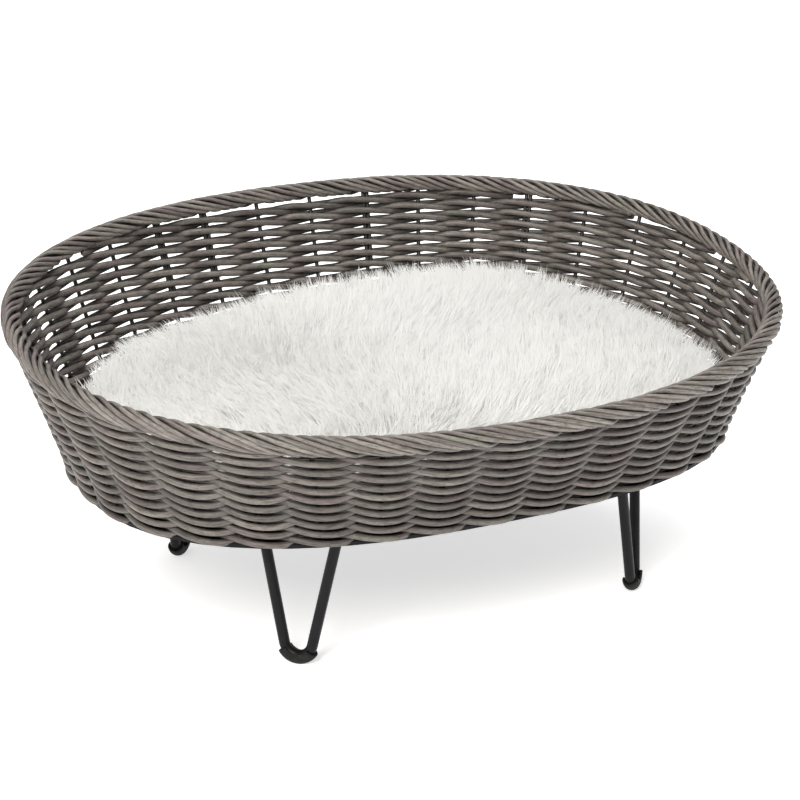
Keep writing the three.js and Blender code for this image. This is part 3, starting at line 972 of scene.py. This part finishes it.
class PETBED_OT_legs(bpy.types.Operator):
    """Bends the steel rods and welds them to their plates"""
    bl_idname = "petbed.legs"
    bl_label = "Legs"

    def execute(self, context):
        sizes = context.scene.pet_legs
        plane = LegPlane(sizes)
        top = sizes.plate_thickness
        inset = top * math.tan(plane.rod_lean)
        left = plane.point(-sizes.rod_spread / 2 + inset, top)
        right = plane.point(sizes.rod_spread / 2 - inset, top)
        angles = np.linspace(-plane.half_bend, plane.half_bend, BEND_POINTS)
        bend = [plane.bend(angle)[0] for angle in angles]
        legs = [blend(left, bend[0], share) for share in np.linspace(0, 0.96, ROD_POINTS)]
        legs += bend
        legs += [blend(bend[-1], right, share) for share in np.linspace(0.04, 1, ROD_POINTS)]
        points, radii = with_round_ends(np.array(legs), 0.0004)
        rod = tubes("rod", [{"points": points, "radii": radii, "closed": False, "tint": 0.5}],
                    sizes.rod_thickness, roundness=6)
        plate = self.plate(sizes)
        beads = [self.bead(sizes, plane, side) for side in (-1, 1)]
        pick(plate)
        for part in (rod, *beads):
            part.select_set(True)
        bpy.ops.object.join()
        leg = settle(bpy.context.object, "leg")
        bpy.ops.object.shade_smooth_by_angle(angle=math.radians(35))
        finish = plain_finish("leg_coating", context.scene.pet_finishes.steel, POWDER_COAT)
        copies_at(leg, leg_places(context), lambda label: f"hairpin_{label}", finish,
                  "leg_steel", lambda label: f"{label}_leg")
        return {"FINISHED"}

    def plate(self, sizes):
        """A flat plate with rounded corners and two screw holes."""
        deselect()
        bpy.ops.mesh.primitive_cube_add(
            size=1, location=(0, 0, -PLATE_GAP - sizes.plate_thickness / 2),
            scale=(sizes.plate_length, sizes.plate_width, sizes.plate_thickness))
        plate = settle(bpy.context.object, "plate")
        select_edges(plate, lambda one, other: abs(one.z - other.z) > sizes.plate_thickness / 2)
        bpy.ops.mesh.bevel(offset=PLATE_CORNER, segments=6, affect="EDGES")
        bpy.ops.object.mode_set(mode="OBJECT")
        for side in (-1, 1):
            deselect()
            bpy.ops.mesh.primitive_cylinder_add(
                vertices=28, radius=SCREW_HOLE_RADIUS, depth=0.02,
                location=(side * sizes.screw_spacing / 2, 0, -0.0015))
            cut_out(plate, bpy.context.object)
        round_edges(plate, 0.0004)
        return plate

    def bead(self, sizes, plane, side):
        """The ring of weld where a rod meets its plate."""
        down = sizes.plate_thickness + 0.0006
        middle = plane.point(side * (sizes.rod_spread / 2 - down * math.tan(plane.rod_lean)), down)
        deselect()
        bpy.ops.mesh.primitive_torus_add(
            location=middle, major_radius=sizes.rod_thickness / 2 + 0.0003, minor_radius=0.0010,
            major_segments=28, minor_segments=8)
        bead = settle(bpy.context.object, "bead")
        rng = random.Random(f"bead {side}")
        for vertex in bead.data.vertices:
            offset = vertex.co - Vector(middle)
            angle = math.atan2(offset.y, offset.x)
            ripple = 0.05 * math.sin(9 * angle + side) + 0.02 * rng.uniform(-1, 1)
            vertex.co = Vector(middle) + offset * (1 + ripple)
        return bead


class PETBED_OT_feet(bpy.types.Operator):
    """Moulds the rubber saddles under the bends"""
    bl_idname = "petbed.feet"
    bl_label = "Feet"

    def execute(self, context):
        sizes = context.scene.pet_legs
        plane = LegPlane(sizes)
        inner = sizes.rod_thickness / 2 + RUBBER_GAP
        outer = inner + RUBBER_WALL
        half = math.radians(RUBBER_WRAP)
        profile = [(outer, angle) for angle in np.linspace(-half, half, BEND_POINTS)]
        profile += [(inner, angle) for angle in np.linspace(half, -half, BEND_POINTS)]
        reach = 0.75 * plane.half_bend
        first, outward = plane.bend(-reach)
        deselect()
        bpy.ops.mesh.primitive_circle_add(vertices=len(profile), fill_type="NGON")
        foot = bpy.context.object
        for vertex, (radius, angle) in zip(foot.data.vertices, profile):
            vertex.co = Vector(first + outward * radius * math.cos(angle)
                               + plane.normal * radius * math.sin(angle))
        edit_all(foot)
        bpy.ops.mesh.spin(
            steps=18, angle=2 * reach, center=tuple(plane.point(0, plane.centre)),
            axis=tuple(plane.normal))
        bpy.ops.mesh.select_all(action="DESELECT")
        bpy.ops.mesh.select_mode(type="EDGE")
        bpy.ops.mesh.select_non_manifold()
        bpy.ops.mesh.fill_holes(sides=0)
        bpy.ops.mesh.select_all(action="SELECT")
        bpy.ops.mesh.bisect(
            plane_co=(0, 0, -sizes.height), plane_no=(0, 0, -1), use_fill=True,
            clear_outer=True)
        bpy.ops.object.mode_set(mode="OBJECT")
        merge_and_face_out(foot, 1e-5)
        round_edges(foot, 0.0005, segments=3, sharp=math.radians(40))
        foot = settle(foot, "foot")
        bpy.ops.object.shade_smooth_by_angle(angle=math.radians(35))
        finish = plain_finish("foot_rubber", context.scene.pet_finishes.rubber, DUSTY_RUBBER)
        copies_at(foot, leg_places(context), lambda label: f"saddle_{label}", finish,
                  "foot_rubber", lambda label: f"{label}_foot")
        return {"FINISHED"}


def turned_piece(name, profile, steps):
    """A closed piece turned round Z from a profile that starts and ends on the axis."""
    deselect()
    bpy.ops.mesh.primitive_circle_add(vertices=len(profile), fill_type="NOTHING")
    piece = bpy.context.object
    for vertex, (radius, height) in zip(piece.data.vertices, profile):
        vertex.co = (radius, 0, height)
    select_edges(piece, lambda one, other: max(one.x, other.x) < 1e-7)
    bpy.ops.mesh.delete(type="EDGE")
    bpy.ops.mesh.select_all(action="SELECT")
    bpy.ops.mesh.spin(steps=steps, angle=2 * math.pi, center=(0, 0, 0), axis=(0, 0, 1))
    bpy.ops.object.mode_set(mode="OBJECT")
    merge_and_face_out(piece, 1e-6)
    return settle(piece, name)


# The screw from its tip up to its flat head, as radii and heights under the board's top.
SCREW_TIP = ((0, -0.013), (0.0016, -0.013))
THREAD_START = -0.0122
THREAD_TURNS = 9
THREAD_PITCH = 0.0008
THREAD_ROOT = 0.0019
THREAD_CREST = 0.00245
SCREW_HEAD = ((0.0021, -0.0046), (0.0021, -0.0028), (0.0044, -0.0006), (0.0046, -0.0004),
              (0.0046, -0.0001), (0.0044, 0), (0, 0))
NUT_HEIGHT = 0.004
NUT_ACROSS_FLATS = 0.008
NUT_BORE_RADIUS = 0.00262
NUT_GAP = 0.0006
TURNED_STEPS = 28


class PETBED_OT_fasteners(bpy.types.Operator):
    """Turns the countersunk screws and makes the nuts"""
    bl_idname = "petbed.fasteners"
    bl_label = "Screws and nuts"

    def execute(self, context):
        sizes = context.scene.pet_legs
        finish = plain_finish("zinc_plate", context.scene.pet_finishes.zinc, MOTTLED_ZINC)
        board = context.scene.pet_basket.board_top - sizes.height
        screws, nuts = {}, {}
        for label, place in leg_places(context).items():
            for letter, side in (("a", -1), ("b", 1)):
                hole = place @ Matrix.Translation((side * sizes.screw_spacing / 2, 0, 0))
                nuts[f"{label}_nut_{letter}"] = hole
                screws[f"{label}_screw_{letter}"] = hole @ Matrix.Translation((0, 0, board))
        copies_at(self.screw(), screws, lambda label: f"made_{label}", finish,
                  "zinc_steel", lambda label: label)
        copies_at(self.nut(sizes), nuts, lambda label: f"made_{label}", finish,
                  "zinc_steel", lambda label: label)
        return {"FINISHED"}

    def screw(self):
        """A countersunk screw with a cross recess and a threaded shank."""
        profile = list(SCREW_TIP)
        for number in range(THREAD_TURNS):
            height = THREAD_START + number * THREAD_PITCH
            profile += [(THREAD_ROOT, height), (THREAD_CREST, height + THREAD_PITCH / 2)]
        profile += SCREW_HEAD
        screw = turned_piece("screw", profile, TURNED_STEPS)
        for turn in (0, math.pi / 2):
            deselect()
            bpy.ops.mesh.primitive_cone_add(
                vertices=4, radius1=0.0012, radius2=0.0030, depth=0.0026,
                location=(0, 0, -0.0008))
            blade = bpy.context.object
            blade.rotation_euler = (0, 0, turn)
            blade.scale = (1, 0.22, 1)
            cut_out(screw, blade)
        pick(screw)
        bpy.ops.object.shade_smooth_by_angle(angle=math.radians(30))
        return screw

    def nut(self, sizes):
        """A hexagon nut with chamfered corners and a bore."""
        deselect()
        middle = (0, 0, -sizes.plate_thickness - NUT_GAP - NUT_HEIGHT / 2)
        bpy.ops.mesh.primitive_cylinder_add(
            vertices=6, radius=NUT_ACROSS_FLATS / 2 / math.cos(math.pi / 6), depth=NUT_HEIGHT,
            location=middle, rotation=(0, 0, math.pi / 6))
        nut = settle(bpy.context.object, "nut")
        deselect()
        bpy.ops.mesh.primitive_cylinder_add(
            vertices=TURNED_STEPS, radius=NUT_BORE_RADIUS, depth=0.01, location=middle)
        cut_out(nut, bpy.context.object)
        round_edges(nut, 0.0004)
        bpy.ops.object.shade_smooth_by_angle(angle=math.radians(30))
        return nut


# Cushion


def wall_room(sizes, heights, angle, clearance):
    """How far from the middle the wall's inner face is, at heights and directions round."""
    wall = Wall(sizes, np.linspace(0, 1, 721)[:-1])
    inner = -(sizes.weave_depth + sizes.cane_thickness / 2 + clearance)
    low = wall.points(0.0, inner)
    high = wall.points(wall.length, inner)

    def at(ring, values):
        directions = np.arctan2(ring[:, 1], ring[:, 0])
        return np.interp(angle, directions, values, period=2 * np.pi)

    low_reach = at(low, np.hypot(low[:, 0], low[:, 1]))
    high_reach = at(high, np.hypot(high[:, 0], high[:, 1]))
    rise = at(high, high[:, 2]) - sizes.board_top
    share = np.clip((np.asarray(heights) - sizes.board_top) / rise, 0, 1.1)
    return blend(low_reach, high_reach, share)


# Where the tips of the plush meet the wall: direction round in degrees, and height.
WALL_CONTACT = (
    (-20, 0.138), (-8, 0.135), (0, 0.138), (11, 0.146), (18, 0.157), (23, 0.166), (28, 0.178),
    (38, 0.196), (48, 0.200), (61, 0.199), (75, 0.196), (90, 0.190), (105, 0.183),
    (125, 0.171), (138, 0.167), (146, 0.166), (152, 0.162), (165, 0.157), (180, 0.153),
    (205, 0.156), (235, 0.162), (270, 0.165), (305, 0.158), (330, 0.145),
)


# Where the cushion starts to slope, and where it reaches the wall's height, as shares of the room.
SLOPE_FROM = 0.42
SLOPE_TO = 0.98
SLOPE_POWER = 1.6


def slope_to_wall(basket, points, crown):
    """The cushion's points, the upper ones moved to the height at which it meets the wall."""
    points = points.copy()
    angle = np.arctan2(points[:, 1], points[:, 0])
    turns, heights = zip(*WALL_CONTACT)
    contact = np.interp(np.degrees(angle), turns, heights, period=360)
    reach = np.hypot(points[:, 0], points[:, 1])
    room = wall_room(basket, np.full(len(points), crown), angle, 0.0)
    near = np.clip((reach / room - SLOPE_FROM) / (SLOPE_TO - SLOPE_FROM), 0, 1) ** SLOPE_POWER
    height = np.clip((points[:, 2] - basket.board_top) / (crown - basket.board_top), 0, 1)
    points[:, 2] += (contact - crown) * near * height
    return points


# The width of the cover's faces before they are smoothed, and the frames in which it fills.
COVER_FACE = 0.006
FILL_FRAMES = 20


class PETBED_OT_cushion(bpy.types.Operator):
    """Fills the cushion's cover"""
    bl_idname = "petbed.cushion"
    bl_label = "Cushion"

    def execute(self, context):
        sizes = context.scene.pet_cushion
        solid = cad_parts["cushion"]
        cushion = solid.copy()
        cushion.data = solid.data.copy()
        for collection in list(cushion.users_collection):
            collection.objects.unlink(cushion)
        context.collection.objects.link(cushion)
        cushion.parent = None
        cushion.matrix_world = Matrix.Identity(4)
        merge_and_face_out(cushion, 1e-5)
        low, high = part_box("cushion")
        edit_all(cushion)
        bpy.ops.transform.shrink_fatten(value=-sizes.pile_depth)
        bpy.ops.object.mode_set(mode="OBJECT")
        for vertex in cushion.data.vertices:
            vertex.co.z = max(vertex.co.z, low[2])
        remesh = cushion.modifiers.new("remesh", "REMESH")
        remesh.mode = "VOXEL"
        remesh.voxel_size = COVER_FACE
        bpy.ops.object.modifier_apply(modifier=remesh.name)
        self.fill(context, cushion, sizes, low[2])
        points = np.array([vertex.co[:] for vertex in cushion.data.vertices])
        points = slope_to_wall(context.scene.pet_basket, points, high[2])
        cushion.data.vertices.foreach_set("co", points.ravel())
        smooth = cushion.modifiers.new("smooth", "SUBSURF")
        smooth.levels = 1
        smooth.render_levels = 1
        bpy.ops.object.modifier_apply(modifier=smooth.name)
        cushion = settle(cushion, "cushion_cover")
        bpy.ops.object.shade_smooth()
        finish = plain_finish("plush_backing", context.scene.pet_finishes.plush, KNITTED_BACKING)
        dress(cushion, finish, "plush", "cushion", "cushion")
        return {"FINISHED"}

    def fill(self, context, cushion, sizes, floor):
        """Swells the cover with pressure, capped, and keeps it off the board."""
        before = np.array([vertex.co[:] for vertex in cushion.data.vertices])
        cloth = cushion.modifiers.new("cloth", "CLOTH")
        cloth.settings.quality = 5
        cloth.settings.use_pressure = True
        cloth.settings.uniform_pressure_force = 4
        cloth.settings.effector_weights.gravity = 0
        cloth.point_cache.frame_start = 1
        cloth.point_cache.frame_end = FILL_FRAMES
        for number in range(1, FILL_FRAMES + 1):
            context.scene.frame_set(number)
        pick(cushion)
        bpy.ops.object.modifier_apply(modifier=cloth.name)
        context.scene.frame_set(1)
        after = np.array([vertex.co[:] for vertex in cushion.data.vertices])
        move = after - before
        far = np.linalg.norm(move, axis=1, keepdims=True)
        after = before + move * np.minimum(1, sizes.swell / np.maximum(far, 1e-9))
        after[:, 2] = np.maximum(after[:, 2], floor)
        cushion.data.vertices.foreach_set("co", after.ravel())
        cushion.data.update()


# The pile: the pieces that it is split into, and how thick its strands are and how far they stray.
PILE_PIECES = 5
STRAND_THICKNESS = 0.0008
ROOT_WANDER = 0.003
ROOT_SPREAD = 0.0034
TIP_WANDER = 0.0018
# How far a lock leans with its neighbours, outward and by chance, and how far its direction
# follows the cover and straight up.
FLOW_LEAN = 0.34
OUTWARD_LEAN = 0.3
LOCK_WANDER = 0.24
COVER_PULL = 0.62
UPWARD_PULL = 0.42
# The length of a lock, as shares: how it varies, and how short it is on the cover's steep sides.
LOCK_LENGTHS = (0.85, 1.05)
SIDE_LENGTH = 0.55
# How near a strand's tip comes to its lock's tip, and its bend: along the cover's direction and
# towards the tip.
TIP_SPREAD = 0.35
KNEE_UP = 0.30
KNEE_ALONG = 0.28
# Shares of the way along a strand, and its size at each.
STRAND_SHAPE = ((0, 1.0), (0.35, 0.9), (0.7, 0.6), (1.0, 0.0))


class PETBED_OT_plush(bpy.types.Operator):
    """Sets the long locks of pile on the cushion"""
    bl_idname = "petbed.plush"
    bl_label = "Plush pile"

    def execute(self, context):
        sizes = context.scene.pet_cushion
        basket = context.scene.pet_basket
        cushion = bpy.data.objects["cushion_cover"]
        rng = np.random.default_rng(7)
        roots, normals = self.roots(cushion, rng, sizes.lock_count)
        finish = plush_finish("plush_pile", context.scene.pet_finishes.plush)
        strands = self.strands(basket, sizes, rng, roots, normals)
        for part in range(PILE_PIECES):
            piece = tubes(
                f"pile_{part + 1}", strands[part::PILE_PIECES], STRAND_THICKNESS, roundness=0)
            soften(piece)
            dress(piece, finish, "plush", "cushion")
        return {"FINISHED"}

    def roots(self, cushion, rng, count):
        """Places spread over the cover's top and sides, with the way that the cover faces."""
        mesh = cushion.data
        areas = np.array([face.area for face in mesh.polygons])
        centres = np.array([face.center[:] for face in mesh.polygons])
        facing = np.array([face.normal[:] for face in mesh.polygons])
        weight = areas * np.clip(facing[:, 2] * 1.4 + 0.9, 0, 1)
        picks = rng.choice(len(areas), size=count, p=weight / weight.sum())
        wander = rng.uniform(-ROOT_WANDER, ROOT_WANDER, (count, 3))
        return centres[picks] + wander, facing[picks]

    def strands(self, basket, sizes, rng, roots, normals):
        """Locks that stand up from the cover and lean together, each with its own strands."""
        flow = np.stack([
            np.sin(roots[:, 0] * 21 + 1.3) + 0.8 * np.sin(roots[:, 1] * 29 + 0.4),
            np.cos(roots[:, 1] * 25 + 2.1) + 0.8 * np.cos(roots[:, 0] * 17 - 0.8),
            np.zeros(len(roots))], -1)
        outward = roots * (1, 1, 0)
        outward = outward / (np.linalg.norm(outward, axis=1, keepdims=True) + 1e-9)
        lean = FLOW_LEAN * flow + OUTWARD_LEAN * outward
        lean = lean + rng.normal(0, LOCK_WANDER, (len(roots), 3))
        way = unit(COVER_PULL * normals + (0, 0, UPWARD_PULL) + lean)
        strands = []
        share, radii = zip(*STRAND_SHAPE)
        share = np.array(share)[:, None]
        for root, normal, lock_way in zip(roots, normals, way):
            length = sizes.pile_length * rng.uniform(*LOCK_LENGTHS)
            length *= blend(SIDE_LENGTH, 1, np.clip(normal[2], 0, 1))
            tip = root + lock_way * length
            tint = rng.uniform(0.3, 1)
            for _ in range(sizes.strands_in_lock):
                spread = rng.normal(0, ROOT_SPREAD, 3)
                spread -= normal * (spread @ normal)
                base = root + spread - normal * 0.001
                end = tip + spread * TIP_SPREAD + rng.normal(0, TIP_WANDER, 3)
                knee = base + normal * length * KNEE_UP + (end - base) * KNEE_ALONG
                points = (1 - share) ** 2 * base
                points = points + 2 * share * (1 - share) * knee + share ** 2 * end
                strands.append({
                    "points": points, "radii": radii, "closed": False,
                    "soft": normal + (0, 0, 0.5),
                    "tint": np.clip(tint + rng.uniform(-0.2, 0.2), 0, 1)})
        self.keep_inside(basket, strands)
        return strands

    def keep_inside(self, basket, strands):
        """Turns back any strand that would pass through the wall or the board."""
        points = np.concatenate([strand["points"] for strand in strands])
        angle = np.arctan2(points[:, 1], points[:, 0])
        reach = np.hypot(points[:, 0], points[:, 1])
        room = wall_room(basket, points[:, 2], angle, 0.001)
        pull = np.minimum(1, room / np.maximum(reach, 1e-9))
        points[:, :2] *= pull[:, None]
        points[:, 2] = np.maximum(points[:, 2], basket.board_top + 0.001)
        for strand, kept in zip(strands, points.reshape(len(strands), -1, 3)):
            strand["points"] = kept


# Stage


FLOOR_WIDTH = 14
FLOOR_GLOW = 0.6
SKY_STRENGTH = 0.45
# The soft lights: name, place, width in metres, power in watts and colour.
LIGHTS = (
    ("key", (-2.6, -2.6, 3.0), 1.8, 190, (1.0, 0.965, 0.90)),
    ("top", (0.4, 0.3, 3.6), 3.0, 90, (1, 1, 1)),
)
LIGHTS_AIM = (0, 0, 0.15)
# Where the camera looks from: degrees round the bed and up, and metres from what it looks at.
CAMERA_TURN = -27.4253
CAMERA_RISE = 19.6212
CAMERA_DISTANCE = 1.8
CAMERA_AIM = (0, 0, 0.138327)
CAMERA_LENS = 106.6
CAMERA_SENSOR = 36
CAMERA_SHIFT = (-0.00288, 0.0040)


class PETBED_OT_stage(bpy.types.Operator):
    """Lays the floor, sets the lights and stands the camera"""
    bl_idname = "petbed.stage"
    bl_label = "Stage"

    def execute(self, context):
        self.floor(context)
        self.lights(context)
        self.camera(context)
        return {"FINISHED"}

    def floor(self, context):
        deselect()
        bpy.ops.mesh.primitive_plane_add(size=FLOOR_WIDTH, location=(0, 0, 0))
        floor = settle(bpy.context.object, "floor")
        material, tree, shader = blank_material("floor_paper")
        place = own_place(tree)
        paper = noise(tree, place, 30.0, 3.0)
        colour = context.scene.pet_finishes.floor
        dimmer = times(colour, 0.985)
        tree.links.new(
            mix_colours(tree, paper, tuple(colour), dimmer), shader.inputs["Base Color"])
        shader.inputs["Roughness"].default_value = 0.9
        shader.inputs["Emission Color"].default_value = (1, 1, 1, 1)
        shader.inputs["Emission Strength"].default_value = FLOOR_GLOW
        floor.data.materials.append(material)

    def lights(self, context):
        world = bpy.data.worlds.new("studio")
        world.use_nodes = True
        background = world.node_tree.nodes["Background"]
        background.inputs["Color"].default_value = (1, 1, 1, 1)
        background.inputs["Strength"].default_value = SKY_STRENGTH
        context.scene.world = world
        context.scene.view_settings.view_transform = "Standard"
        for name, place, width, power, colour in LIGHTS:
            deselect()
            bpy.ops.object.light_add(type="AREA", location=place)
            light = bpy.context.object
            light.name = name
            light.data.size = width
            light.data.energy = power
            light.data.color = colour
            aim = Vector(LIGHTS_AIM) - Vector(place)
            light.rotation_euler = aim.to_track_quat("-Z", "Y").to_euler()

    def camera(self, context):
        turn, rise = math.radians(CAMERA_TURN), math.radians(CAMERA_RISE)
        back = Vector((math.sin(turn) * math.cos(rise), -math.cos(turn) * math.cos(rise),
                       math.sin(rise)))
        deselect()
        bpy.ops.object.camera_add(location=Vector(CAMERA_AIM) + back * CAMERA_DISTANCE)
        camera = bpy.context.object
        camera.rotation_euler = back.to_track_quat("Z", "Y").to_euler()
        camera.data.lens = CAMERA_LENS
        camera.data.sensor_width = CAMERA_SENSOR
        camera.data.shift_x, camera.data.shift_y = CAMERA_SHIFT
        context.scene.camera = camera


class PETBED_PT_panel(bpy.types.Panel):
    """Lists the pieces of the bed"""
    bl_idname = "PETBED_PT_panel"
    bl_label = "Raised pet bed"
    bl_space_type = "VIEW_3D"
    bl_region_type = "UI"
    bl_category = "Pet Bed"

    def draw(self, context):
        for operator in OPERATORS:
            self.layout.operator(operator.bl_idname)
        for name in SETTINGS:
            box = self.layout.box()
            box.label(text=name.replace("pet_", "").capitalize())
            for prop in SETTINGS[name].__annotations__:
                box.prop(getattr(context.scene, name), prop)


OPERATORS = (
    PETBED_OT_board, PETBED_OT_stakes, PETBED_OT_weavers, PETBED_OT_border, PETBED_OT_legs,
    PETBED_OT_feet, PETBED_OT_fasteners, PETBED_OT_cushion, PETBED_OT_plush, PETBED_OT_stage,
)
SETTINGS = {
    "pet_basket": BasketSizes,
    "pet_legs": LegSizes,
    "pet_cushion": CushionSizes,
    "pet_finishes": Finishes,
}


def register():
    for kind in (*SETTINGS.values(), *OPERATORS, PETBED_PT_panel):
        bpy.utils.register_class(kind)
    for name, kind in SETTINGS.items():
        setattr(bpy.types.Scene, name, PointerProperty(type=kind))


def unregister():
    for name in SETTINGS:
        delattr(bpy.types.Scene, name)
    for kind in reversed((*SETTINGS.values(), *OPERATORS, PETBED_PT_panel)):
        bpy.utils.unregister_class(kind)


def main():
    register()
    for operator in OPERATORS:
        group, name = operator.bl_idname.split(".")
        getattr(getattr(bpy.ops, group), name)()
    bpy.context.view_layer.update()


if __name__ == "__main__":
    main()
